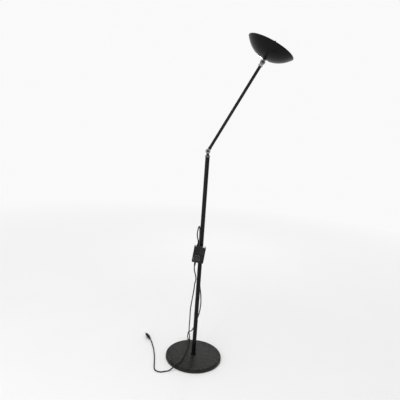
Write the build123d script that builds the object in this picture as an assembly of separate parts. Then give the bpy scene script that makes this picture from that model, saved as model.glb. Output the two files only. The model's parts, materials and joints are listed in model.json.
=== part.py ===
from build123d import *
import math
import os

# Adjustable arm floor lamp: a heavy round base, a pole, a swivelling elbow, a leaning arm
# and a bowl shade that throws its light upwards. A dimmer box is clamped to the pole.
# Millimetres and degrees. +Z is up, the origin is on the floor under the pole, the arm
# leans towards +X and both hinge pins run along Y. The dimmer box faces -Y.

# Base
BASE_DIA = 300.0
BASE_HEIGHT = 19.0
COVER_WALL = 1.5
COVER_EDGE = 6.0
COVER_LIFT = 1.0
PAD_THICK = 2.0
PAD_RADIUS = 146.0
STUD_RADIUS = 6.0
STUD_BORE = 4.0
LOOSE = 0.1
NUT_RECESS_RADIUS = 22.0
NUT_RECESS_TOP = 9.2

# Pole
POLE_RADIUS = 11.0
POLE_WALL = 1.5
POLE_TOP = 1092.0
COLLAR_RADIUS = 12.0
COLLAR_HEIGHT = 10.0
BUSH_DEPTH = 30.0

# Arm
ELBOW_Z = 1122.5
ARM_LEAN = 27.6
ARM_LENGTH = 496.0
ARM_RADIUS = 7.5
ARM_WALL = 1.5

# Friction hinges
EAR_RADIUS = 12.3
EAR_INNER = 0.6
EAR_OUTER = 8.0
STEM_START = 13.2
SCREW_RADIUS = 3.0
RUNNING = 0.05
SPIGOT_RADIUS = 6.0
WIRE_BORE = 3.4

# Bowl
BOWL_TILT = 25.2
BOWL_RIM = 120.8
BOWL_DEPTH = 61.3
BOWL_WALL = 1.2
BOWL_SEAT = 16.0
RIM_BEAD = 1.6
GLASS_RADIUS = 100.0
GLASS_THICK = 3.0
GLASS_BASE = 40.0

# Dimmer box
BOX_WIDTH = 60.0
BOX_HEIGHT = 84.0
BOX_CENTRE = (-9.0, -28.0, 595.0)
BOX_LEAN = 6.3
BOX_BACK = 15.0
BOX_PARTING = 0.6
BOX_WALL = 2.0
BOX_CORNER = 3.5
KNOB_X = -8.0
KNOB_Z = -19.0
KNOB_RADIUS = 13.0

# Flexes
CORD_DIA = 6.0
GLAND_ANGLE = 102.5
GLAND_Z = 9.5
GLAND_REACH = 18.0
INLET_X = -14.0
INLET_REACH = 12.0
OUTLET_X = -11.0
OUTLET_REACH = 20.0
STRAIGHT_EXIT = 15.0
PLUG_START = (-257.0, 133.0, 12.0)
PLUG_HEADING = 118.0
PLUG_ROLL = 40.0

# The lamp flex leaves the base at the back, climbs beside and behind the pole,
# loops over above the box and goes down into it.
LAMP_FLEX = [
    (-42, 191, 14),
    (-41, 200, 28),
    (-37, 196, 44),
    (-32, 178, 55),
    (-27, 151, 68),
    (-19, 118, 91),
    (-10, 86, 126),
    (0, 57, 170),
    (9, 34, 214),
    (17, 15, 260),
    (21, 5, 308),
    (18, 6, 353),
    (11, 15, 393),
    (3, 21, 436),
    (-4, 22, 484),
    (-9, 21, 535),
    (-11, 20, 588),
    (-11.5, 19, 640),
    (-11, 18, 684),
    (-12, 12, 714),
    (-15, -2, 736),
    (-18, -22, 741),
    (-22, -39, 728),
    (-24, -41, 704),
    (-22, -34, 684),
]

# The mains lead hangs from the box, lands on the back of the base, crosses its top,
# drops over the front edge and runs round to the plug.
MAINS_LEAD = [
    (-24, -27, 500),
    (-17, -24, 476),
    (-14, -20, 453),
    (-20, -16, 430),
    (-21, -11, 399),
    (-24, -4, 365),
    (-28, 7, 328),
    (-32, 17, 290),
    (-34, 28, 248),
    (-33, 41, 206),
    (-34, 57, 165),
    (-34, 76, 127),
    (-34, 94, 100),
    (-33, 108, 79),
    (-30, 120, 58),
    (-27, 116, 36),
    (-27, 99, 22),
    (-31, 77, 22),
    (-36, 49, 22),
    (-39, 20, 22),
    (-44, -9, 22),
    (-50, -38, 22),
    (-57, -66, 22),
    (-66, -91, 22),
    (-76, -111, 27),
    (-89, -128, 27),
    (-103, -139, 15),
    (-119, -145, 3),
    (-138, -152, 3),
    (-158, -161, 3),
    (-178.5, -158, 3),
    (-193.5, -144, 3),
    (-199, -118, 3),
    (-202, -88, 3),
    (-206, -50, 3),
    (-213, -8, 3),
    (-221, 33, 3),
    (-231, 71, 3),
    (-241, 99, 7),
]

parts = {}


def rod(radius, z0, z1):
    """A cylinder along Z from z0 to z1."""
    return Pos(0, 0, z0) * Cylinder(radius, z1 - z0, align=(Align.CENTER, Align.CENTER, Align.MIN))


def ring(outer, inner, z0, z1):
    """A straight-walled ring along Z."""
    return rod(outer, z0, z1) - rod(inner, z0 - 1, z1 + 1)


def pin(radius, y0, y1):
    """A cylinder along Y from y0 to y1."""
    return Rot(-90, 0, 0) * rod(radius, y0, y1)


def block(x0, x1, y0, y1, z0, z1):
    """A box between two corners."""
    middle = Pos((x0 + x1) / 2, (y0 + y1) / 2, (z0 + z1) / 2)
    return middle * Box(x1 - x0, y1 - y0, z1 - z0)


def cone(r0, r1, z0, z1):
    """A cone along Z, radius r0 at z0 and r1 at z1."""
    return Pos(0, 0, z0) * Cone(r0, r1, z1 - z0, align=(Align.CENTER, Align.CENTER, Align.MIN))


def hexagon(flats, bore, z0, z1):
    """A hexagon nut along Z with chamfered outer corners."""
    blank = Pos(0, 0, z0) * extrude(RegularPolygon(flats / 2, 6, major_radius=False), z1 - z0)
    blank = blank & cone(flats / 2 + 0.2, flats / 2 + 0.2 + (z1 - z0), z0, z1)
    return blank - rod(bore, z0 - 1, z1 + 1)


def soften(solid, radius, z, size):
    """Chamfers the circular edge of one radius that lies at height z."""
    edges = [e for e in solid.edges() if e.geom_type == GeomType.CIRCLE]
    level = [e for e in edges if abs(e.center().Z - z) < 0.01 and abs(e.radius - radius) < 0.01]
    return chamfer(level, size)


# ---------------------------------------------------------------- base

def make_base():
    outer = rod(BASE_DIA / 2, COVER_LIFT, BASE_HEIGHT)
    outer = fillet(outer.edges().group_by(Axis.Z)[-1], COVER_EDGE)
    inner_radius = BASE_DIA / 2 - COVER_WALL
    inner_top = BASE_HEIGHT - COVER_WALL
    inner = rod(inner_radius, 0, inner_top)
    inner = fillet(inner.edges().group_by(Axis.Z)[-1], COVER_EDGE - COVER_WALL)
    gland = Rot(0, 0, GLAND_ANGLE) * Pos(0, 0, GLAND_Z) * Rot(0, 90, 0)
    cover = outer - inner - rod(STUD_RADIUS + LOOSE, 0, BASE_HEIGHT + 1)
    parts["base_cover"] = cover - gland * rod(4.6, 140, 160)

    parts["base_pad"] = rod(PAD_RADIUS, 0, PAD_THICK)

    weight_radius = inner_radius - 1
    weight_top = inner_top - 0.3
    weight = rod(weight_radius, PAD_THICK, weight_top)
    weight = fillet(weight.edges().group_by(Axis.Z)[-1], COVER_EDGE - 1)
    weight -= rod(NUT_RECESS_RADIUS, 0, NUT_RECESS_TOP)
    weight -= rod(STUD_RADIUS + LOOSE, 0, BASE_HEIGHT)
    channel = Rot(0, 0, GLAND_ANGLE) * block(0, weight_radius + 2, -5.5, 5.5, 0, 15)
    parts["base_weight"] = weight - channel

    parts["base_washer"] = ring(17, STUD_RADIUS + LOOSE, NUT_RECESS_TOP - 2, NUT_RECESS_TOP)
    parts["base_locknut"] = hexagon(22, STUD_RADIUS + LOOSE, PAD_THICK + 0.4, NUT_RECESS_TOP - 2)
    parts["base_stud"] = ring(STUD_RADIUS, STUD_BORE, PAD_THICK + 0.2, 52)

    collar = ring(14, POLE_RADIUS + LOOSE, BASE_HEIGHT, BASE_HEIGHT + 7)
    parts["foot_collar"] = soften(collar, 14, BASE_HEIGHT + 7, 1.2)

    body = rod(4.4, 138, 150) + cone(6.5, 4.4, 150, 150 + GLAND_REACH)
    body += rod(6.5, 150, 152)
    for step in range(4):
        at = 154.5 + 3.2 * step
        body -= ring(8, 5.4 - 0.35 * step, at, at + 1.2)
    body -= rod(CORD_DIA / 2, 137, 150 + GLAND_REACH - 0.5)
    parts["base_gland"] = gland * body
    parts["base_wire"] = gland * rod(2.6, 24, 137.5)


# ---------------------------------------------------------------- pole

def make_pole():
    bore = POLE_RADIUS - POLE_WALL
    parts["pole_tube"] = ring(POLE_RADIUS, bore, BASE_HEIGHT, POLE_TOP)
    plug = ring(bore - LOOSE, STUD_RADIUS + LOOSE, BASE_HEIGHT, BASE_HEIGHT + 40)
    parts["pole_plug"] = plug
    bush = rod(bore - LOOSE, POLE_TOP - BUSH_DEPTH, POLE_TOP)
    bush += rod(COLLAR_RADIUS, POLE_TOP, POLE_TOP + COLLAR_HEIGHT)
    bush -= rod(SPIGOT_RADIUS + RUNNING, POLE_TOP - BUSH_DEPTH - 1, POLE_TOP + COLLAR_HEIGHT + 1)
    parts["pole_collar"] = soften(bush, COLLAR_RADIUS, POLE_TOP + COLLAR_HEIGHT, 0.8)
    parts["pole_wire"] = rod(2.6, 60, POLE_TOP - BUSH_DEPTH - 10)


# ---------------------------------------------------------------- friction hinges

def knuckle(side, stem_radius, stem_end, spigot_radius, spigot_end):
    """Half of a friction hinge: an ear on one side of the pin's middle, and a stem along +Z."""
    near = min(side * EAR_INNER, side * EAR_OUTER)
    far = max(side * EAR_INNER, side * EAR_OUTER)
    ear = pin(EAR_RADIUS, near, far)
    rims = [e for e in ear.edges() if e.geom_type == GeomType.CIRCLE]
    outside = [e for e in rims if abs(e.center().Y - side * EAR_OUTER) < 0.01]
    ear = chamfer(outside, 0.8)
    web = block(-6.8, 6.8, near, far, 0, STEM_START + 1)
    stem = rod(stem_radius, STEM_START, stem_end)
    body = ear + (web & rod(stem_radius, 0, STEM_START + 1)) + stem
    body += rod(spigot_radius, stem_end, spigot_end)
    body -= pin(SCREW_RADIUS + RUNNING, -20, 20)
    return body - rod(WIRE_BORE, STEM_START + 1.5, spigot_end + 1)


def hinge_hardware(name, place):
    """The screw, spring washer, nut and friction disc that clamp one hinge."""
    screw = pin(SCREW_RADIUS, -EAR_OUTER - 0.5, EAR_OUTER + 7)
    head = pin(5.2, -EAR_OUTER - 3.6, -EAR_OUTER)
    head = chamfer([e for e in head.edges() if e.center().Y < -EAR_OUTER - 3], 0.6)
    socket = Pos(0, -EAR_OUTER - 1.6, 0) * Rot(90, 0, 0)
    socket = socket * extrude(RegularPolygon(2.0, 6, major_radius=False), 5)
    parts[name + "_screw"] = place * (screw + head - socket)
    spring = pin(5.4, EAR_OUTER + 0.15, EAR_OUTER + 1.6) - pin(SCREW_RADIUS + RUNNING, 0, 20)
    parts[name + "_spring_washer"] = place * spring
    nut = Rot(-90, 0, 0) * hexagon(10, SCREW_RADIUS + RUNNING, EAR_OUTER + 1.6, EAR_OUTER + 6.4)
    parts[name + "_nut"] = place * nut
    disc = pin(10.5, -EAR_INNER, EAR_INNER - 0.15) - pin(SCREW_RADIUS + RUNNING, -2, 2)
    parts[name + "_friction_disc"] = place * disc


# ---------------------------------------------------------------- swivel and arm

ELBOW = Pos(0, 0, ELBOW_Z)
ARM = ELBOW * Rot(0, ARM_LEAN, 0)
HEAD = ARM * Pos(0, 0, ARM_LENGTH)
BOWL_HINGE = HEAD * Rot(0, BOWL_TILT - ARM_LEAN, 0)


def make_swivel():
    neck = ELBOW_Z - POLE_TOP - COLLAR_HEIGHT - 0.2
    spigot = ELBOW_Z - POLE_TOP + BUSH_DEPTH + 5
    lower = knuckle(1, 7.25, neck, SPIGOT_RADIUS, spigot)
    groove = ring(8, 5.0, spigot - 3.9, spigot - 2.5)
    parts["elbow_lower_knuckle"] = ELBOW * Rot(0, 180, 0) * (lower - groove)
    clip = ring(7.6, 5.05, 0, 1.2) - block(0, 9, -2, 2, -1, 2)
    parts["swivel_circlip"] = Pos(0, 0, ELBOW_Z - spigot + 2.6) * clip


def make_arm():
    tube_bore = ARM_RADIUS - ARM_WALL
    lower = knuckle(-1, 8.5, 24, tube_bore - LOOSE, 46)
    parts["elbow_upper_knuckle"] = ARM * soften(lower, 8.5, 24, 0.8)
    hinge_hardware("elbow", ARM)
    parts["arm_tube"] = ARM * ring(ARM_RADIUS, tube_bore, 24, ARM_LENGTH - 22)
    upper = knuckle(1, 10.5, 22, tube_bore - LOOSE, 44)
    upper = soften(upper, 10.5, 22, 1.0)
    parts["head_lower_knuckle"] = HEAD * Rot(0, 180, 0) * upper
    parts["arm_wire"] = ARM * rod(2.4, 50, ARM_LENGTH - 50)


# ---------------------------------------------------------------- head

BOWL_SPHERE = (BOWL_RIM ** 2 + BOWL_DEPTH ** 2) / (2 * BOWL_DEPTH)
BOWL = BOWL_HINGE * Pos(0, 0, BOWL_SEAT)


def strip(path, thick, width):
    """A bent metal strip: straight flats along a path in the XZ plane, rounded at each bend."""
    solid = None
    for (x0, z0), (x1, z1) in zip(path, path[1:]):
        run = math.hypot(x1 - x0, z1 - z0)
        slope = math.degrees(math.atan2(z1 - z0, x1 - x0))
        flat = Pos(x0, 0, z0) * Rot(0, -slope, 0) * Pos(run / 2, 0, 0) * Box(run, width, thick)
        solid = flat if solid is None else solid + flat
    for x, z in path[1:-1]:
        solid += Pos(x, 0, z) * pin(thick / 2, -width / 2, width / 2)
    return solid


def make_shade():
    centre = Pos(0, 0, BOWL_SPHERE)
    cap = centre * Sphere(BOWL_SPHERE) - centre * Sphere(BOWL_SPHERE - BOWL_WALL)
    cap = cap & block(-200, 200, -200, 200, -1, BOWL_DEPTH)
    cap -= rod(5.3, -1, 5)
    bead = Pos(0, 0, BOWL_DEPTH) * Torus(BOWL_RIM - RIM_BEAD + 0.4, RIM_BEAD)
    parts["shade"] = BOWL * (cap + bead)

    knob = knuckle(-1, 8.0, BOWL_SEAT, 5.0, BOWL_SEAT + 20)
    parts["head_upper_knuckle"] = BOWL_HINGE * knob
    hinge_hardware("head", BOWL_HINGE)
    parts["shade_washer"] = BOWL * ring(14, 5.1, 2.0, 3.4)
    parts["shade_nut"] = BOWL * hexagon(16, 5.1, 3.4, 8.4)
    parts["bracket_spacer"] = BOWL * ring(7.5, 5.1, 8.4, 14)
    bracket = block(-11, 11, -53, 53, 14, 15.5) - rod(5.1, 10, 20)
    parts["lamp_bracket"] = BOWL * bracket
    parts["bracket_nut"] = BOWL * hexagon(14, 5.1, 15.5, 19)


def make_lamp():
    lamp_z = 29.5
    half = 39.0
    holders = []
    screws = []
    for side in (-1, 1):
        middle = side * (half + 5)
        holder = block(-9, 9, middle - 7, middle + 7, 15.5, 37)
        holder = chamfer(holder.edges().group_by(Axis.Z)[-1], 2)
        seat = pin(3.5, min(side * 35, side * (half + 4.1)), max(side * 35, side * (half + 4.1)))
        holder -= Pos(0, 0, lamp_z) * seat
        holders.append(holder)
        screws.append(Pos(0, middle, 0) * (rod(1.5, 11.5, 15.4) + rod(2.8, 11.8, 13.9)))
    bracket_cut = [Pos(0, side * (half + 5), 0) * rod(1.6, 10, 20) for side in (-1, 1)]
    parts["lamp_bracket"] = parts["lamp_bracket"] - [BOWL * cut for cut in bracket_cut]
    parts["lamp_holders"] = BOWL * Compound(children=[h.solid() for h in holders])
    parts["holder_screws"] = BOWL * Compound(children=[s.solid() for s in screws])

    quartz = pin(4.5, -26, 26) + pin(3.2, -half + 3, half - 3)
    caps = pin(3.4, -half - 4, -half + 3) + pin(3.4, half - 3, half + 4)
    parts["halogen_lamp"] = BOWL * Pos(0, 0, lamp_z) * quartz
    parts["lamp_caps"] = BOWL * Pos(0, 0, lamp_z) * Compound(children=caps.solids())

    trough_radius = 38.0
    trough_z = 20.6 + trough_radius
    wall = pin(trough_radius, -33, 33) - pin(trough_radius - 0.8, -34, 34)
    trough = Pos(0, 0, trough_z) * wall & block(-28, 28, -33, 33, 15, 34)
    for y in (-30, 30):
        trough += block(-5, 5, y - 1, y + 1, 15.5, 21.2)
    parts["reflector"] = BOWL * trough

    glass = rod(GLASS_RADIUS, GLASS_BASE, GLASS_BASE + GLASS_THICK)
    rims = [e for e in glass.edges() if e.geom_type == GeomType.CIRCLE]
    parts["glass_plate"] = BOWL * chamfer(rims, 0.5)

    inner = BOWL_RIM - BOWL_WALL - RIM_BEAD
    hook = [(BOWL_RIM + 2.4, BOWL_DEPTH - 3), (BOWL_RIM + 2.4, BOWL_DEPTH + 2.6)]
    hook += [(inner - 2.6, BOWL_DEPTH + 2.6), (inner - 2.6, BOWL_DEPTH - 3.5)]
    hook += [(102.4, GLASS_BASE + GLASS_THICK + 3.0), (96, GLASS_BASE + GLASS_THICK + 0.7)]
    clips = []
    for angle in (-90, 30, 150):
        clips.append(Rot(0, 0, angle) * strip(hook, 1.0, 8))
    parts["glass_clips"] = BOWL * Compound(children=[c.solid() for c in clips])


# ---------------------------------------------------------------- dimmer box

BOX = Pos(*BOX_CENTRE) * Rot(0, BOX_LEAN, 0)


def shell_half(y_face, y_part, corner_face):
    """An open moulded half: rounded outside, hollow behind its face."""
    w = BOX_WIDTH / 2
    h = BOX_HEIGHT / 2
    low, high = min(y_face, y_part), max(y_face, y_part)
    outer = block(-w, w, low, high, -h, h)
    outer = fillet(outer.edges().filter_by(Axis.Y), BOX_CORNER)
    face = outer.faces().sort_by(Axis.Y)[0 if y_face < y_part else -1]
    outer = fillet(face.edges(), corner_face)
    step = BOX_WALL if y_face < y_part else -BOX_WALL
    low, high = min(y_face + step, y_part + step), max(y_face + step, y_part + step)
    inner = block(-w + BOX_WALL, w - BOX_WALL, low, high, -h + BOX_WALL, h - BOX_WALL)
    inner = fillet(inner.edges().filter_by(Axis.Y), BOX_CORNER - BOX_WALL)
    return outer - inner


CORNERS = [(x, z) for x in (-23, 23) for z in (-35, 35)]
SCREW_BORE = 1.6
POST_RADIUS = 3.4


def corner_pins(radius, y0, y1):
    """Four equal pins, one behind each corner of the box."""
    return [Pos(x, 0, z) * pin(radius, y0, y1) for x, z in CORNERS]


def make_box_shells():
    face = -BOX_BACK
    half_gap = BOX_PARTING / 2
    front = shell_half(face, -half_gap, 3.0) + corner_pins(POST_RADIUS, face + 1.5, -half_gap)
    front -= corner_pins(SCREW_BORE, -9, 1)
    back = shell_half(BOX_BACK, half_gap, 1.5) + corner_pins(POST_RADIUS, half_gap, BOX_BACK - 1)
    back -= corner_pins(SCREW_BORE, -1, BOX_BACK + 1)
    back -= corner_pins(3.0, BOX_BACK - 3, BOX_BACK + 1)

    knob = Pos(KNOB_X, 0, KNOB_Z)
    front += knob * (pin(18, face - 1.6, face + 1) - pin(15.2, face - 3, 0))
    front -= block(1.5, 25.5, face - 1, face + 1, 4, 35.5)
    for row in range(5):
        z = 8.0 + 5.9 * row
        front += block(1, 26, face - 0.9, face + 1.4, z - 1.1, z + 1.1)
    front -= block(-25.5, -3, face - 1, face + 0.5, 10, 35.5)
    front -= knob * pin(3.3, face - 2, 0)

    half = BOX_HEIGHT / 2
    for x, z in ((INLET_X, half), (OUTLET_X, -half)):
        slot = Pos(x, 0, z) * rod(4.3, -5, 5)
        front -= slot
        back -= slot
    clamp_holes = [Pos(side * CLAMP_SCREW_X, 0, BOX_CENTRE[2]) * pin(1.6, -22, -10) for side in (-1, 1)]
    parts["box_front"] = BOX * front
    parts["box_back"] = BOX * back - clamp_holes
    screws = [Pos(x, 0, z) * (pin(1.5, -8, 12.5) + pin(2.7, 12.2, 14.2)) for x, z in CORNERS]
    parts["box_screws"] = BOX * Compound(children=[s.solid() for s in screws])


def make_box_inside():
    board = block(-20, 20, 2, 3.6, -33, 33)
    parts["dimmer_board"] = BOX * (board - corner_pins(POST_RADIUS + 0.4, 0, 6))
    choke = Pos(10, -1.4, 13) * Rot(90, 0, 0) * Torus(7, 3.2)
    parts["dimmer_choke"] = BOX * choke
    sink = block(-18, 18, -9, 2, -32, -30.5) + block(-18, 18, -9, -7.5, -37, -32)
    parts["dimmer_heat_sink"] = BOX * sink
    terminals = block(-18, -2, -8, 2, 24, 34)
    for x in (-14, -6):
        terminals -= Pos(x, 0, 29) * pin(2, -9, -4)
    parts["terminal_block"] = BOX * terminals
    knob = BOX * Pos(KNOB_X, 0, KNOB_Z)
    pot = pin(8.5, -9, 2) + pin(4.5, -12, -9) - pin(3.05, -13, 1)
    parts["dimmer_pot"] = knob * pot
    parts["dimmer_shaft"] = knob * pin(3, -BOX_BACK - 4, -1)
    cap = pin(KNOB_RADIUS, -BOX_BACK - 7, -BOX_BACK - 0.4)
    cap = chamfer([e for e in cap.edges() if e.center().Y < -BOX_BACK - 6], 1.2)
    for turn in range(18):
        cap -= Rot(0, 20 * turn, 0) * Pos(KNOB_RADIUS + 0.7, 0, 0) * pin(1.5, -BOX_BACK - 9, 0)
    cap -= block(-0.8, 0.8, -BOX_BACK - 8, -BOX_BACK - 6.4, 3, 11)
    cap -= pin(3, -BOX_BACK - 4, 0)
    parts["dimmer_knob"] = knob * cap


CLAMP_SCREW_X = 16.2


def make_clamp():
    inner = POLE_RADIUS + RUNNING
    outer = inner + 1.5
    back_face = BOX_CENTRE[1] + BOX_BACK
    saddle = ring(outer, inner, -8, 8) & block(-20, 20, 0, 20, -8, 8)
    for side in (-1, 1):
        x0, x1 = sorted((side * inner, side * outer))
        saddle += block(x0, x1, back_face, 0, -8, 8)
        x0, x1 = sorted((side * inner, side * 19.5))
        saddle += block(x0, x1, back_face, back_face + 1.5, -8, 8)
        saddle -= Pos(side * CLAMP_SCREW_X, 0, 0) * pin(1.6, -20, -5)
    place = Pos(0, 0, BOX_CENTRE[2])
    parts["pole_clamp"] = place * saddle
    screws = []
    for side in (-1, 1):
        screw = pin(1.5, back_face - 7, back_face + 1.6) + pin(2.8, back_face + 1.5, back_face + 3.3)
        screws.append(Pos(side * CLAMP_SCREW_X, 0, 0) * screw)
    parts["clamp_screws"] = place * Compound(children=[s.solid() for s in screws])


def relief(reach, foot):
    """A ribbed strain relief along +Z that narrows from its foot to the flex."""
    body = cone(foot, CORD_DIA / 2 + 1, 0, reach)
    body += rod(foot - 1.3, -3.4, 0) + rod(foot - 0.3, -3.4, -BOX_WALL)
    ribs = int(reach // 4)
    for rib in range(ribs):
        at = 2.2 + (reach - 3) * rib / ribs
        body -= ring(foot + 2, foot - 1.0 - 1.2 * at / reach, at, at + 1.1)
    return body - rod(CORD_DIA / 2, -7, reach - 0.5)


# ---------------------------------------------------------------- flexes and plug

def flex(name, route):
    """A round flex: straight runs joined by arcs as large as the runs allow."""
    points = [Vector(*p) for p in route]
    radii = []
    for before, here, after in zip(points, points[1:], points[2:]):
        turn = (here - before).get_angle(after - here)
        shorter = min((here - before).length, (after - here).length)
        radii.append(0.45 * shorter / math.tan(math.radians(turn / 2)))
    path = FilletPolyline(*points, radius=radii)
    section = Plane(origin=points[0], z_dir=points[1] - points[0]) * Circle(CORD_DIA / 2)
    tube = sweep(section, path=path)
    expected = math.pi * (CORD_DIA / 2) ** 2 * path.length
    print(name, "length", round(path.length), "volume ratio", round(tube.volume / expected, 4))
    print(name, "smallest radii", sorted(round(r) for r in radii)[:8])
    parts[name] = tube


def make_flexes():
    half = BOX_HEIGHT / 2
    inlet = BOX * Pos(INLET_X, 0, half)
    outlet = BOX * Pos(OUTLET_X, 0, -half) * Rot(0, 180, 0)
    parts["box_inlet_relief"] = inlet * relief(INLET_REACH, 5.0)
    parts["box_outlet_relief"] = outlet * relief(OUTLET_REACH, 5.6)

    gland = Rot(0, 0, GLAND_ANGLE) * Pos(BASE_DIA / 2 + GLAND_REACH, 0, GLAND_Z)
    gland_beyond = gland * Pos(STRAIGHT_EXIT, 0, 0)
    inlet_end = inlet * Pos(0, 0, INLET_REACH)
    inlet_above = inlet_end * Pos(0, 0, STRAIGHT_EXIT)
    ends = [tuple(place.position) for place in (gland, gland_beyond, inlet_above, inlet_end)]
    flex("lamp_flex", ends[:2] + LAMP_FLEX + ends[2:])

    outlet_end = outlet * Pos(0, 0, OUTLET_REACH)
    outlet_below = outlet_end * Pos(0, 0, STRAIGHT_EXIT)
    heading = math.radians(PLUG_HEADING)
    start = Vector(*PLUG_START)
    along = Vector(math.cos(heading), math.sin(heading), 0)
    before = start - along * STRAIGHT_EXIT
    ends = [tuple(place.position) for place in (outlet_end, outlet_below)]
    flex("mains_lead", ends + MAINS_LEAD + [tuple(before), tuple(start)])

    roll = math.radians(PLUG_ROLL)
    side = Vector(along.Y, -along.X, 0)
    broad = side * math.cos(roll) - Vector(0, 0, 1) * math.sin(roll)
    make_plug(Plane(origin=start, x_dir=broad, z_dir=along).location)


def make_plug(place):
    sections = []
    for z, width, thick in ((14, 11, 10), (26, 20, 12.6), (38, 23, 13), (52, 24, 13)):
        sections.append(Pos(0, 0, z) * RectangleRounded(width, thick, 4.4))
    body = loft(sections) + cone(CORD_DIA / 2 + 1, 5.2, 0, 14.5)
    for rib in range(3):
        at = 2.5 + 3.6 * rib
        body -= ring(8, 3.7 + 0.3 * rib, at, at + 1.2)
    pins = [Pos(x, 0, 0) * rod(2.0, 40, 71) for x in (-8.2, 8.2)]
    parts["plug_body"] = place * (body - pins)
    parts["plug_pins"] = place * Compound(children=[p.solid() for p in pins])


def main():
    make_base()
    make_pole()
    make_swivel()
    make_arm()
    make_shade()
    make_lamp()
    make_box_shells()
    make_box_inside()
    make_clamp()
    make_flexes()
    os.makedirs("parts", exist_ok=True)
    for name, shape in parts.items():
        export_step(shape, "parts/" + name + ".step")


main()
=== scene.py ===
import json
import math
import bpy
import bmesh
from mathutils import Matrix, Vector


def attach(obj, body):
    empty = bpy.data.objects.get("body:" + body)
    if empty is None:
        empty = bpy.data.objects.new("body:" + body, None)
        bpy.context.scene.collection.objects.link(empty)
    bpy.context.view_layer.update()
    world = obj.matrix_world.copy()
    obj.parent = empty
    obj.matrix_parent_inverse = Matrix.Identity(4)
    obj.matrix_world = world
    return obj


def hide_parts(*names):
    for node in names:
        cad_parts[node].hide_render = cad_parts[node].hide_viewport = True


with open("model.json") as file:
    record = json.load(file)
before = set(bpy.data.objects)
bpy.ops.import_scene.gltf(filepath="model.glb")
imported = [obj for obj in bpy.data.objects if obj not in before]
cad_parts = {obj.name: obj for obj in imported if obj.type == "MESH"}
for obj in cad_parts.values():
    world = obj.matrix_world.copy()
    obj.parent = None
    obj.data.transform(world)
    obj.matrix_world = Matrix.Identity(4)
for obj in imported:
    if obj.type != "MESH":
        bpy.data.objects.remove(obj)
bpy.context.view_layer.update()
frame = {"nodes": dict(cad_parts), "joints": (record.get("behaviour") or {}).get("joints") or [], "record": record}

NODES = frame["nodes"]
JOINTS = {joint["name"]: joint for joint in frame["joints"]}
ELBOW = Vector(JOINTS["elbow_hinge"]["pos_m"])
HEAD = Vector(JOINTS["head_hinge"]["pos_m"])
ARM_AXIS = (HEAD - ELBOW).normalized()
EAR_RADIUS = 0.0123

BOWL_TILT = math.radians(25.2)
BOWL_AXIS = Vector((math.sin(BOWL_TILT), 0, math.cos(BOWL_TILT)))
BOWL_SEAT = 0.016
BOWL_BOTTOM = HEAD + BOWL_AXIS * BOWL_SEAT
BOWL_PLACE = Matrix.Translation(BOWL_BOTTOM) @ Matrix.Rotation(BOWL_TILT, 4, "Y")
BOWL_DEPTH = 0.0613
BOWL_RIM = 0.1208
BOWL_RADIUS = (BOWL_RIM ** 2 + BOWL_DEPTH ** 2) / (2 * BOWL_DEPTH)
BOWL_CENTRE = BOWL_BOTTOM + BOWL_AXIS * BOWL_RADIUS
BOWL_WALL = 0.0012
BOWL_HOLE = 0.0053
BEAD_RADIUS = 0.0016
LAMP_HEIGHT = 0.0295

BOX_LEAN = math.radians(6.3)
BOX_CENTRE = Vector((-0.009, -0.028, 0.595))
BOX_PLACE = Matrix.Translation(BOX_CENTRE) @ Matrix.Rotation(BOX_LEAN, 4, "Y")
BOX_BACK = 0.015
KNOB_X, KNOB_Z = -0.008, -0.019
RING_FACE = -0.0166
MARK_CIRCLE = 0.0166

CORD_DIAMETER = 0.006
STRAIGHT_EXIT = 0.015
GLAND_ANGLE = math.radians(102.5)
GLAND_Z = 0.0095
GLAND_END = 0.168
INLET_X = -0.014
INLET_END = 0.054
OUTLET_X = -0.011
OUTLET_END = 0.062
PLUG_HEADING = math.radians(118)
PLUG_START = Vector((-0.257, 0.133, 0.012))
PLUG_BEFORE = PLUG_START - STRAIGHT_EXIT * Vector((math.cos(PLUG_HEADING), math.sin(PLUG_HEADING), 0))

CAMERA_DISTANCE = 1.965
CAMERA_HEIGHT = 1.220
LENS = 35.28
BACKDROP = 0.95
CEILING = 0.12
BACKDROP_TOP, CEILING_START = math.radians(20), math.radians(34)
FLOOR_NEAR, FLOOR_FAR = 0.7, 4.5
FLOOR_HALF = 30

# The same route points as the solids of the two flexes, in metres.
LAMP_FLEX = [
    (-0.042, 0.191, 0.014),
    (-0.041, 0.2, 0.028),
    (-0.037, 0.196, 0.044),
    (-0.032, 0.178, 0.055),
    (-0.027, 0.151, 0.068),
    (-0.019, 0.118, 0.091),
    (-0.01, 0.086, 0.126),
    (0, 0.057, 0.17),
    (0.009, 0.034, 0.214),
    (0.017, 0.015, 0.26),
    (0.021, 0.005, 0.308),
    (0.018, 0.006, 0.353),
    (0.011, 0.015, 0.393),
    (0.003, 0.021, 0.436),
    (-0.004, 0.022, 0.484),
    (-0.009, 0.021, 0.535),
    (-0.011, 0.02, 0.588),
    (-0.0115, 0.019, 0.64),
    (-0.011, 0.018, 0.684),
    (-0.012, 0.012, 0.714),
    (-0.015, -0.002, 0.736),
    (-0.018, -0.022, 0.741),
    (-0.022, -0.039, 0.728),
    (-0.024, -0.041, 0.704),
    (-0.022, -0.034, 0.684),
]
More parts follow.
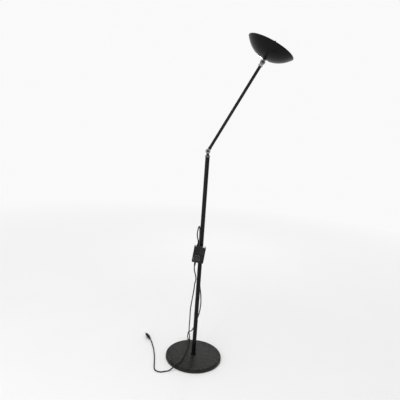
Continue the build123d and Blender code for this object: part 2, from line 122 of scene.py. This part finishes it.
MAINS_LEAD = [
    (-0.024, -0.027, 0.5),
    (-0.017, -0.024, 0.476),
    (-0.014, -0.02, 0.453),
    (-0.02, -0.016, 0.43),
    (-0.021, -0.011, 0.399),
    (-0.024, -0.004, 0.365),
    (-0.028, 0.007, 0.328),
    (-0.032, 0.017, 0.29),
    (-0.034, 0.028, 0.248),
    (-0.033, 0.041, 0.206),
    (-0.034, 0.057, 0.165),
    (-0.034, 0.076, 0.127),
    (-0.034, 0.094, 0.1),
    (-0.033, 0.108, 0.079),
    (-0.03, 0.12, 0.058),
    (-0.027, 0.116, 0.036),
    (-0.027, 0.099, 0.022),
    (-0.031, 0.077, 0.022),
    (-0.036, 0.049, 0.022),
    (-0.039, 0.02, 0.022),
    (-0.044, -0.009, 0.022),
    (-0.05, -0.038, 0.022),
    (-0.057, -0.066, 0.022),
    (-0.066, -0.091, 0.022),
    (-0.076, -0.111, 0.027),
    (-0.089, -0.128, 0.027),
    (-0.103, -0.139, 0.015),
    (-0.119, -0.145, 0.003),
    (-0.138, -0.152, 0.003),
    (-0.158, -0.161, 0.003),
    (-0.1785, -0.158, 0.003),
    (-0.1935, -0.144, 0.003),
    (-0.199, -0.118, 0.003),
    (-0.202, -0.088, 0.003),
    (-0.206, -0.05, 0.003),
    (-0.213, -0.008, 0.003),
    (-0.221, 0.033, 0.003),
    (-0.231, 0.071, 0.003),
    (-0.241, 0.099, 0.007),
]


# ---------------------------------------------------------------- material tools

class Shade:
    """One node material: a Principled shader and short helpers that wire procedural maps into it."""

    def __init__(self, name, **sockets):
        self.material = bpy.data.materials.new(name)
        self.material.use_nodes = True
        self.tree = self.material.node_tree
        self.shader = self.tree.nodes["Principled BSDF"]
        for socket, value in sockets.items():
            self.shader.inputs[socket.replace("_", " ")].default_value = value

    def node(self, kind, **settings):
        made = self.tree.nodes.new(kind)
        for key, value in settings.items():
            setattr(made, key, value)
        return made

    def link(self, source, target):
        self.tree.links.new(source, target)

    def place(self, scale=(1, 1, 1)):
        """Object coordinates, stretched by scale."""
        coords = self.node("ShaderNodeTexCoord")
        mapping = self.node("ShaderNodeMapping")
        mapping.inputs["Scale"].default_value = scale
        self.link(coords.outputs["Object"], mapping.inputs["Vector"])
        return mapping.outputs["Vector"]

    def noise(self, scale, detail=4.0, rough=0.5, stretch=(1, 1, 1)):
        made = self.node("ShaderNodeTexNoise")
        made.inputs["Scale"].default_value = scale
        made.inputs["Detail"].default_value = detail
        made.inputs["Roughness"].default_value = rough
        self.link(self.place(stretch), made.inputs["Vector"])
        return made.outputs["Fac"]

    def cells(self, scale):
        made = self.node("ShaderNodeTexVoronoi", feature="SMOOTH_F1")
        made.inputs["Scale"].default_value = scale
        self.link(self.place(), made.inputs["Vector"])
        return made.outputs["Distance"]

    def spread(self, value, low, high, new_low, new_high):
        made = self.node("ShaderNodeMapRange")
        for socket, number in zip(made.inputs[1:5], (low, high, new_low, new_high)):
            socket.default_value = number
        self.link(value, made.inputs["Value"])
        return made.outputs["Result"]

    def mix(self, factor, first, second):
        """A colour between two colours, each a tuple or a socket."""
        made = self.node("ShaderNodeMix", data_type="RGBA")
        self.link(factor, made.inputs["Factor"])
        for socket, value in ((made.inputs[6], first), (made.inputs[7], second)):
            if isinstance(value, tuple):
                socket.default_value = value
            else:
                self.link(value, socket)
        return made.outputs[2]

    def maths(self, operation, first, second):
        made = self.node("ShaderNodeMath", operation=operation)
        for socket, value in zip(made.inputs, (first, second)):
            if isinstance(value, (int, float)):
                socket.default_value = value
            else:
                self.link(value, socket)
        return made.outputs["Value"]

    def along(self, point, axis):
        """How far a surface point lies beyond a point along an axis, in metres."""
        coords = self.node("ShaderNodeTexCoord")
        move = self.node("ShaderNodeVectorMath", operation="SUBTRACT")
        move.inputs[1].default_value = point
        dot = self.node("ShaderNodeVectorMath", operation="DOT_PRODUCT")
        dot.inputs[1].default_value = axis
        self.link(coords.outputs["Object"], move.inputs[0])
        self.link(move.outputs["Vector"], dot.inputs[0])
        return dot.outputs["Value"]

    def distance(self, point):
        """How far a surface point is from a point, in metres."""
        coords = self.node("ShaderNodeTexCoord")
        made = self.node("ShaderNodeVectorMath", operation="DISTANCE")
        made.inputs[1].default_value = point
        self.link(coords.outputs["Object"], made.inputs[0])
        return made.outputs["Value"]

    def edges(self, low=0.50, high=0.60):
        """1 on sharp convex edges, where a finish wears, and 0 elsewhere."""
        made = self.node("ShaderNodeNewGeometry")
        return self.spread(made.outputs["Pointiness"], low, high, 0.0, 1.0)

    def colour(self, source):
        self.link(source, self.shader.inputs["Base Color"])

    def rough(self, source):
        self.link(source, self.shader.inputs["Roughness"])

    def bump(self, *layers):
        """Stacks (height socket, depth in metres) layers into one normal."""
        last = None
        for height, depth in layers:
            made = self.node("ShaderNodeBump")
            made.inputs["Distance"].default_value = depth
            made.inputs["Strength"].default_value = 1.0
            self.link(height, made.inputs["Height"])
            if last is not None:
                self.link(last, made.inputs["Normal"])
            last = made.outputs["Normal"]
        self.link(last, self.shader.inputs["Normal"])


def grey(level, warm=0.0):
    """A neutral colour, made warmer by a share of its own level."""
    return (level * (1 + warm), level, level * (1 - warm), 1.0)


# ---------------------------------------------------------------- materials

def hammered_enamel():
    """The base's textured enamel: small raised cells whose colour follows their height, painted paler greenish
    grey on the high parts as a painted highlight where light would catch them, and darker in the dips as painted
    shade.
    """
    look = Shade("hammered_enamel", Specular_IOR_Level=0.14)
    broad = look.noise(70, 5, 0.65)
    fine = look.noise(420, 3, 0.6)
    cells = look.cells(210)
    # Painted highlight and shade: the cell pattern that raises the bumps also paints their high parts paler and
    # their low parts darker.
    tone = look.spread(cells, 0.1, 0.7, 0.0, 1.0)
    base = look.mix(tone, (0.0015, 0.0015, 0.001, 1), (0.006, 0.0064, 0.0048, 1))
    dusty = look.mix(look.spread(broad, 0.42, 0.68, 0.0, 0.8), base, (0.026, 0.023, 0.015, 1))
    look.colour(look.mix(look.edges(0.515, 0.56), dusty, grey(0.02)))
    look.rough(look.spread(broad, 0.3, 0.7, 0.52, 0.30))
    look.bump((broad, 0.0030), (cells, 0.0009), (fine, 0.00012))
    return look.material


def gloss_enamel(name, tone=0.004, low=0.16, high=0.28):
    """Gloss black enamel with orange peel, a few hairline rubs and a little dust."""
    look = Shade(name, Specular_IOR_Level=0.14)
    peel = look.noise(260, 2, 0.4)
    smudge = look.noise(14, 5, 0.6)
    dust = look.spread(look.noise(900, 2, 0.7), 0.60, 0.75, 0.0, 0.15)
    look.colour(look.mix(dust, grey(tone), grey(0.05, 0.06)))
    look.rough(look.spread(smudge, 0.3, 0.75, low, high))
    look.bump((peel, 0.00006))
    return look.material


def bowl_enamel():
    """The bowl: satin black outside, white enamel inside."""
    look = Shade("bowl_enamel", Specular_IOR_Level=0.10)
    sphere = look.distance(BOWL_CENTRE)
    inside = look.spread(sphere, BOWL_RADIUS - 0.0007, BOWL_RADIUS - 0.0005, 1.0, 0.0)
    height = look.along(BOWL_BOTTOM, BOWL_AXIS)
    below_rim = look.spread(height, BOWL_DEPTH - BEAD_RADIUS, BOWL_DEPTH - 0.0012, 1.0, 0.0)
    white = look.maths("MULTIPLY", inside, below_rim)
    smudge = look.noise(11, 5, 0.6)
    dust = look.spread(look.noise(700, 2, 0.7), 0.60, 0.75, 0.0, 0.12)
    black = look.mix(dust, grey(0.004), grey(0.04, 0.05))
    cream = look.mix(look.spread(smudge, 0.35, 0.7, 0.0, 1.0), (0.80, 0.79, 0.75, 1), (0.72, 0.70, 0.65, 1))
    look.colour(look.mix(white, black, cream))
    look.rough(look.spread(smudge, 0.3, 0.75, 0.24, 0.36))
    look.bump((look.noise(160, 2, 0.4), 0.00001))
    return look.material


def cast_alloy(name, tone, hinge=None, axis=None):
    """Die-cast alloy with a fine grain. Given a hinge, the stem past its round ear is enamelled black."""
    look = Shade(name)
    grain = look.noise(1300, 3, 0.6)
    patch = look.noise(60, 4, 0.6)
    metal = look.mix(look.spread(patch, 0.3, 0.7, 0.0, 1.0), grey(tone * 0.8), grey(tone * 1.15, 0.01))
    worn = look.mix(look.edges(), metal, grey(min(1.0, tone * 1.7)))
    if hinge is None:
        look.shader.inputs["Metallic"].default_value = 1.0
        look.colour(worn)
    else:
        paint = look.spread(look.along(hinge, axis), EAR_RADIUS, EAR_RADIUS + 0.0002, 0.0, 1.0)
        look.colour(look.mix(paint, worn, grey(0.004)))
        look.link(look.spread(paint, 0.0, 1.0, 1.0, 0.0), look.shader.inputs["Metallic"])
        look.shader.inputs["Specular IOR Level"].default_value = 0.2
    look.rough(look.spread(patch, 0.3, 0.7, 0.34, 0.48))
    look.bump((grain, 0.00003))
    return look.material


def turned_steel(name, tone, axis, warm=0.0):
    """Turned or plated steel with fine rings round one axis."""
    stretch = {"X": (900, 60, 60), "Y": (60, 900, 60), "Z": (60, 60, 900)}[axis]
    look = Shade(name, Metallic=1.0)
    rings = look.noise(1.0, 3, 0.6, stretch)
    patch = look.noise(45, 4, 0.6)
    look.colour(look.mix(patch, grey(tone * 0.75, warm), grey(min(1.0, tone * 1.2), warm)))
    look.rough(look.spread(patch, 0.3, 0.7, 0.2, 0.38))
    look.bump((rings, 0.00002))
    return look.material


def moulded_plastic(name, tone, rough=0.5, grain=1500, warm=0.0):
    """Moulded plastic: spark-eroded grain, a touch of dust and paler rubbed edges."""
    look = Shade(name, Specular_IOR_Level=0.2)
    sparks = look.noise(grain, 3, 0.65)
    patch = look.noise(30, 5, 0.65)
    base = look.mix(look.spread(patch, 0.3, 0.7, 0.0, 1.0), grey(tone * 0.7, warm), grey(tone * 1.5, warm))
    look.colour(look.mix(look.edges(0.51, 0.58), base, grey(tone * 3 + 0.02, warm)))
    look.rough(look.spread(patch, 0.3, 0.7, rough - 0.1, rough + 0.1))
    look.bump((sparks, 0.00006))
    return look.material


def soft_pvc():
    """Soft black PVC: satin, with faint drag marks and dust."""
    look = Shade("black_pvc", Specular_IOR_Level=0.16)
    drag = look.noise(380, 4, 0.6)
    dust = look.spread(look.noise(70, 5, 0.7), 0.5, 0.75, 0.0, 0.5)
    look.colour(look.mix(dust, grey(0.004), grey(0.0128, 0.05)))
    look.rough(look.spread(drag, 0.3, 0.7, 0.34, 0.52))
    look.bump((drag, 0.00008))
    return look.material


def felt():
    """Pressed felt: dark, dull and hairy."""
    look = Shade("pressed_felt", Roughness=0.95, Sheen_Weight=0.4)
    fibre = look.noise(900, 5, 0.7)
    look.colour(look.mix(fibre, grey(0.02), grey(0.07)))
    look.bump((fibre, 0.0004))
    return look.material


def cast_iron():
    """Raw cast iron, pitted, with a brown bloom."""
    look = Shade("raw_cast_iron", Metallic=0.6)
    pits = look.noise(260, 6, 0.7)
    look.colour(look.mix(look.spread(pits, 0.35, 0.7, 0, 1), grey(0.05), (0.16, 0.12, 0.09, 1)))
    look.rough(look.spread(pits, 0.3, 0.7, 0.55, 0.8))
    look.bump((pits, 0.0004))
    return look.material


def glass(name, tint, rough=0.02, alpha=1.0):
    """Clear glass. A low alpha lets straight light through, which the glass shader alone would not."""
    look = Shade(name, Transmission_Weight=1.0, IOR=1.5, Alpha=alpha)
    smudge = look.noise(20, 5, 0.6)
    look.colour(look.mix(smudge, tint, tuple(0.97 * v for v in tint[:3]) + (1.0,)))
    look.rough(look.spread(smudge, 0.4, 0.8, rough, rough + 0.06))
    return look.material


def ceramic():
    """Pale steatite with brownish stains."""
    look = Shade("steatite", Specular_IOR_Level=0.5)
    patch = look.noise(120, 5, 0.7)
    look.colour(look.mix(look.spread(patch, 0.4, 0.75, 0, 1), (0.82, 0.80, 0.74, 1), (0.60, 0.56, 0.48, 1)))
    look.rough(look.spread(patch, 0.3, 0.7, 0.35, 0.6))
    look.bump((look.noise(1400, 2), 0.00004))
    return look.material


def laminate():
    """Brown board laminate with a faint weave."""
    look = Shade("board_laminate", Roughness=0.5)
    weave = look.noise(700, 3, 0.5, (1, 1, 6))
    look.colour(look.mix(weave, (0.20, 0.13, 0.04, 1), (0.34, 0.24, 0.09, 1)))
    look.bump((weave, 0.00004))
    return look.material


def copper():
    """Enamelled copper wire; its turns lie across Z."""
    look = Shade("enamelled_copper", Metallic=1.0)
    turns = look.noise(1.0, 2, 0.5, (300, 300, 2600))
    look.colour(look.mix(turns, (0.35, 0.13, 0.05, 1), (0.70, 0.32, 0.14, 1)))
    look.rough(look.spread(turns, 0.3, 0.7, 0.25, 0.45))
    look.bump((turns, 0.0002))
    return look.material


MATERIALS = {
    "hammered_black": hammered_enamel(),
    "felt": felt(),
    "iron": cast_iron(),
    "zinc_steel": turned_steel("zinc_plated_steel", 0.55, "Z"),
    "gloss_black": gloss_enamel("gloss_black_enamel"),
    "satin_alloy": cast_alloy("satin_alloy_casting", 0.22),
    "bright_steel": turned_steel("bright_turned_steel", 0.25, "Y"),
    "blackened_steel": turned_steel("blackened_steel", 0.03, "Y"),
    "fibre": moulded_plastic("pressed_fibre", 0.05, 0.7, 1200, 0.2),
    "black_clamp": gloss_enamel("black_strap_enamel", 0.008, 0.3, 0.45),
    "box_plastic": moulded_plastic("box_moulding", 0.006, 0.36),
    "knob_plastic": moulded_plastic("knob_moulding", 0.005, 0.34),
    "board": laminate(),
    "winding": copper(),
    "polished_aluminium": turned_steel("polished_aluminium", 0.85, "X"),
    "ceramic": ceramic(),
    "quartz": glass("lamp_quartz", (1.0, 1.0, 1.0, 1.0), 0.0),
    "clear_glass": glass("cover_glass", (0.93, 0.98, 0.96, 1.0), alpha=0.35),
    "pvc_black": soft_pvc(),
    "dial_paint": moulded_plastic("dial_paint", 0.55, 0.5),
    "label_foil": moulded_plastic("silvered_label", 0.30, 0.4),
    "filament": turned_steel("tungsten", 0.35, "Y"),
    "plug_brass": turned_steel("nickelled_brass", 0.6, "Y", 0.08),
}

# Castings with a black stem, and the collar.
OWN_MATERIALS = {
    "elbow_lower_knuckle": cast_alloy("elbow_lower_casting", 0.13, hinge=ELBOW, axis=Vector((0, 0, -1))),
    "elbow_upper_knuckle": cast_alloy("elbow_upper_casting", 0.13, hinge=ELBOW, axis=ARM_AXIS),
    "head_upper_knuckle": cast_alloy("head_upper_casting", 0.13, hinge=HEAD, axis=BOWL_AXIS),
    "pole_collar": turned_steel("turned_satin_collar", 0.10, "Z"),
}


def dress_cad_nodes():
    """Gives every carried-over node its own material or its slot's."""
    slots = {part["node"]: part["material_slot"] for part in frame["record"]["subparts"]}
    for name, node in NODES.items():
        node.data.materials.clear()
        node.data.materials.append(OWN_MATERIALS.get(name) or MATERIALS[slots[name]])


# ---------------------------------------------------------------- flexes

def box_point(x, y, z):
    """A point given in the dimmer box's own leaning frame."""
    return BOX_PLACE @ Vector((x, y, z))


def radial(angle, reach, height):
    """A point at one angle round the pole."""
    return Vector((reach * math.cos(angle), reach * math.sin(angle), height))


def flex(name, points, node):
    """One flex: a smooth spline with the route's points, in place of its CAD tube."""
    curve = bpy.data.curves.new(name, "CURVE")
    curve.dimensions = "3D"
    spline = curve.splines.new("NURBS")
    spline.points.add(len(points) - 1)
    for point, place in zip(spline.points, points):
        point.co = (*place, 1.0)
    spline.order_u = 3
    spline.use_endpoint_u = True
    spline.resolution_u = 8
    curve.bevel_depth = CORD_DIAMETER / 2
    curve.bevel_resolution = 5
    curve.use_fill_caps = True
    curve.materials.append(MATERIALS["pvc_black"])
    piece = bpy.data.objects.new(name, curve)
    bpy.context.scene.collection.objects.link(piece)
    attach(piece, "stand")
    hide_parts(node)
    return piece


def make_flexes():
    """Both flexes, each from its first strain relief to its last."""
    gland = [radial(GLAND_ANGLE, reach, GLAND_Z) for reach in (GLAND_END, GLAND_END + STRAIGHT_EXIT)]
    inlet = [box_point(INLET_X, 0, reach) for reach in (INLET_END + STRAIGHT_EXIT, INLET_END)]
    lamp_route = gland + LAMP_FLEX + inlet
    lamp = flex("lamp_flex_cord", lamp_route, "lamp_flex")
    outlet = [box_point(OUTLET_X, 0, -reach) for reach in (OUTLET_END, OUTLET_END + STRAIGHT_EXIT)]
    mains_route = outlet + MAINS_LEAD + [PLUG_BEFORE, PLUG_START]
    mains = flex("mains_lead_cord", mains_route, "mains_lead")


# ---------------------------------------------------------------- small pieces

def add_piece(name, form, body, material):
    """Turns a bmesh in world metres into a named piece that rides on a body."""
    mesh = bpy.data.meshes.new(name)
    bmesh.ops.recalc_face_normals(form, faces=form.faces)
    form.to_mesh(mesh)
    form.free()
    for face in mesh.polygons:
        face.use_smooth = True
    mesh.materials.append(material)
    piece = bpy.data.objects.new(name, mesh)
    bpy.context.scene.collection.objects.link(piece)
    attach(piece, body)
    return piece


def slab(form, outline, depth, place):
    """A plate with a small bevel: an outline in its own XZ plane, thickened towards -Y."""
    inset = 0.0003
    centre = sum((Vector(p) for p in outline), Vector((0, 0))) / len(outline)
    rings = []
    for y, shrink in ((0.0, 0.0), (-depth * 0.6, 0.0), (-depth, inset)):
        ring = []
        for point in outline:
            away = Vector(point) - centre
            spot = centre + away * (1 - shrink / away.length)
            ring.append(form.verts.new(place @ Vector((spot.x, y, spot.y))))
        rings.append(ring)
    for low, high in zip(rings, rings[1:]):
        for i in range(len(low)):
            j = (i + 1) % len(low)
            form.faces.new((low[i], low[j], high[j], high[i]))
    form.faces.new(rings[0][::-1])
    form.faces.new(rings[-1])


def rounded(width, height, radius, steps=6):
    """Outline of a rounded rectangle round the origin."""
    outline = []
    for turn, (sx, sz) in enumerate(((1, 1), (-1, 1), (-1, -1), (1, -1))):
        for step in range(steps + 1):
            angle = math.radians(90 * (turn + step / steps))
            outline.append((sx * (width / 2 - radius) + radius * math.cos(angle),
                            sz * (height / 2 - radius) + radius * math.sin(angle)))
    return outline


def lathe(form, profile, place):
    """Spins a closed (radius, height) profile round Z."""
    segments = 192
    rings = []
    for step in range(segments):
        angle = 2 * math.pi * step / segments
        rings.append([form.verts.new(place @ Vector((r * math.cos(angle), r * math.sin(angle), z)))
                      for r, z in profile])
    for step in range(segments):
        near, far = rings[step], rings[(step + 1) % segments]
        for i in range(len(profile)):
            j = (i + 1) % len(profile)
            form.faces.new((near[i], near[j], far[j], far[i]))


def make_bowl():
    """The spun bowl: a spherical dish with a rolled bead at its rim and a hole for the stud."""
    outer, inner = BOWL_RADIUS, BOWL_RADIUS - BOWL_WALL
    outer_gap, inner_gap = 0.0016, 0.0013
    bead_at = BOWL_RIM - BEAD_RADIUS + 0.0004
    bead_start, bead_step = -86, 15.9

    def arc(radius, first, last):
        steps = 60
        spots = []
        for step in range(steps + 1):
            angle = first + (last - first) * step / steps
            spots.append((radius * math.sin(angle), BOWL_RADIUS - radius * math.cos(angle)))
        return spots

    def rim_angle(radius, clearance):
        return math.acos((BOWL_RADIUS - BOWL_DEPTH + clearance) / radius)

    profile = arc(outer, math.asin(BOWL_HOLE / outer), rim_angle(outer, outer_gap))
    for step in range(21):
        angle = math.radians(bead_start + step * bead_step)
        profile.append((bead_at + BEAD_RADIUS * math.cos(angle), BOWL_DEPTH + BEAD_RADIUS * math.sin(angle)))
    profile += arc(inner, rim_angle(inner, inner_gap), math.asin(BOWL_HOLE / inner))
    form = bmesh.new()
    lathe(form, profile, BOWL_PLACE)
    bowl = add_piece("spun_bowl", form, "head", bowl_enamel())
    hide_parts("shade")


def make_dial_marks():
    """Eleven raised dashes on the dimmer's ring, longer towards full."""
    first, apart = -135, 27
    form = bmesh.new()
    centre = BOX_PLACE @ Matrix.Translation((KNOB_X, RING_FACE, KNOB_Z))
    outwards = Matrix.Translation((0, 0, MARK_CIRCLE))
    for mark in range(11):
        turn = Matrix.Rotation(math.radians(first + apart * mark), 4, "Y")
        outline = rounded(0.0006, 0.0008 + 0.00014 * mark, 0.00028, 3)
        slab(form, outline, 0.0002, centre @ turn @ outwards)
    add_piece("dial_marks", form, "stand", MATERIALS["dial_paint"])


def make_rating_plate():
    """A blank rating plate, low on the back of the box."""
    form = bmesh.new()
    turned = Matrix.Rotation(math.pi, 4, "Z")
    place = BOX_PLACE @ Matrix.Translation((0, BOX_BACK, -0.025)) @ turned
    slab(form, rounded(0.030, 0.017, 0.0015), 0.0003, place)
    add_piece("rating_plate", form, "stand", MATERIALS["label_foil"])


def make_filament():
    """The coiled filament on the lamp's axis."""
    turns, steps, radius, half = 46, 8, 0.0007, 0.0235
    curve = bpy.data.curves.new("lamp_filament", "CURVE")
    curve.dimensions = "3D"
    spline = curve.splines.new("POLY")
    last = turns * steps + 1
    spline.points.add(last)
    for i in range(last + 1):
        along = -half + 2 * half * i / last
        angle = i * 2 * math.pi / steps
        spot = BOWL_PLACE @ Vector((radius * math.cos(angle), along, LAMP_HEIGHT + radius * math.sin(angle)))
        spline.points[i].co = (*spot, 1.0)
    curve.bevel_depth = 0.00014
    curve.bevel_resolution = 1
    curve.use_fill_caps = True
    curve.materials.append(MATERIALS["filament"])
    piece = bpy.data.objects.new("lamp_filament", curve)
    bpy.context.scene.collection.objects.link(piece)
    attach(piece, "head")


# ---------------------------------------------------------------- stage

def make_world():
    """A pale backdrop all round, up to twenty degrees, under a much darker ceiling."""
    world = bpy.data.worlds.new("studio")
    world.use_nodes = True
    tree = world.node_tree
    coords = tree.nodes.new("ShaderNodeTexCoord")
    split = tree.nodes.new("ShaderNodeSeparateXYZ")
    fade = tree.nodes.new("ShaderNodeMapRange")
    fade.interpolation_type = "SMOOTHSTEP"
    limits = (math.sin(BACKDROP_TOP), math.sin(CEILING_START), BACKDROP, CEILING)
    for socket, number in zip(fade.inputs[1:5], limits):
        socket.default_value = number
    tree.links.new(coords.outputs["Generated"], split.inputs["Vector"])
    tree.links.new(split.outputs["Z"], fade.inputs["Value"])
    tree.links.new(fade.outputs["Result"], tree.nodes["Background"].inputs["Strength"])
    tree.nodes["Background"].inputs["Color"].default_value = (1, 1, 1, 1)
    bpy.context.scene.world = world


def make_floor():
    """A pale floor that turns into the backdrop with distance."""
    mesh = bpy.data.meshes.new("floor")
    form = bmesh.new()
    bmesh.ops.create_grid(form, x_segments=1, y_segments=1, size=FLOOR_HALF)
    form.to_mesh(mesh)
    form.free()
    floor = bpy.data.objects.new("floor", mesh)
    bpy.context.scene.collection.objects.link(floor)
    look = Shade("floor_paint", Roughness=0.9, Specular_IOR_Level=0.0)
    paint = look.mix(look.noise(2, 2), (0.88, 0.88, 0.88, 1), (0.91, 0.91, 0.91, 1))
    reach = look.distance((0, 0, 0))
    look.colour(look.mix(look.spread(reach, FLOOR_NEAR, FLOOR_FAR, 0.0, 1.0), paint, (0, 0, 0, 1)))
    look.shader.inputs["Emission Color"].default_value = (1, 1, 1, 1)
    glow = look.spread(reach, FLOOR_NEAR, FLOOR_FAR, 0.0, BACKDROP)
    look.link(glow, look.shader.inputs["Emission Strength"])
    mesh.materials.append(look.material)


def make_lights():
    """A soft key from the left, a strip that edges the tubes, a small back light and a wide glow above."""
    lights = (
        ("key", (-1.9, -2.2, 3.0), (0, 0, 0.6), (1.5, 1.5), 22),
        ("strip", (-1.15, -2.8, 1.3), (0, 0, 0.9), (0.22, 2.4), 18),
        ("back", (0.27, 2.75, 1.62), (0, 0, 0.1), (0.3, 0.3), 6),
    )
    for name, place, target, size, watts in lights:
        light = bpy.data.lights.new(name, "AREA")
        light.shape = "RECTANGLE"
        light.size, light.size_y = size
        light.energy = watts
        lamp = bpy.data.objects.new(name, light)
        lamp.location = place
        lamp.rotation_euler = (Vector(place) - Vector(target)).to_track_quat("Z", "Y").to_euler()
        lamp.visible_camera = False
        bpy.context.scene.collection.objects.link(lamp)
    overhead = bpy.data.lights.new("overhead", "SUN")
    overhead.energy = 1.75
    overhead.angle = math.radians(70)
    lamp = bpy.data.objects.new("overhead", overhead)
    bpy.context.scene.collection.objects.link(lamp)
    bpy.context.scene.view_settings.view_transform = "Standard"


def make_camera():
    """In front, 1.2 m up, looking a little down and held a few degrees off level."""
    down = math.radians(10.0)
    turn = math.radians(-0.66)
    roll = math.radians(4.0)
    ahead = Vector((math.sin(turn) * math.cos(down), math.cos(turn) * math.cos(down), -math.sin(down)))
    right = Vector((math.cos(turn), -math.sin(turn), 0))
    up = right.cross(ahead)
    rolled_right = right * math.cos(roll) + up * math.sin(roll)
    rolled_up = up * math.cos(roll) - right * math.sin(roll)
    camera = bpy.data.objects.new("camera", bpy.data.cameras.new("camera"))
    camera.data.lens = LENS
    camera.data.sensor_width = 36.0
    camera.matrix_world = Matrix((
        (rolled_right.x, rolled_up.x, -ahead.x, 0.0),
        (rolled_right.y, rolled_up.y, -ahead.y, -CAMERA_DISTANCE),
        (rolled_right.z, rolled_up.z, -ahead.z, CAMERA_HEIGHT),
        (0, 0, 0, 1),
    ))
    bpy.context.scene.collection.objects.link(camera)
    bpy.context.scene.camera = camera


dress_cad_nodes()
make_flexes()
make_bowl()
make_dial_marks()
make_rating_plate()
make_filament()
make_floor()
make_world()
make_lights()
make_camera()
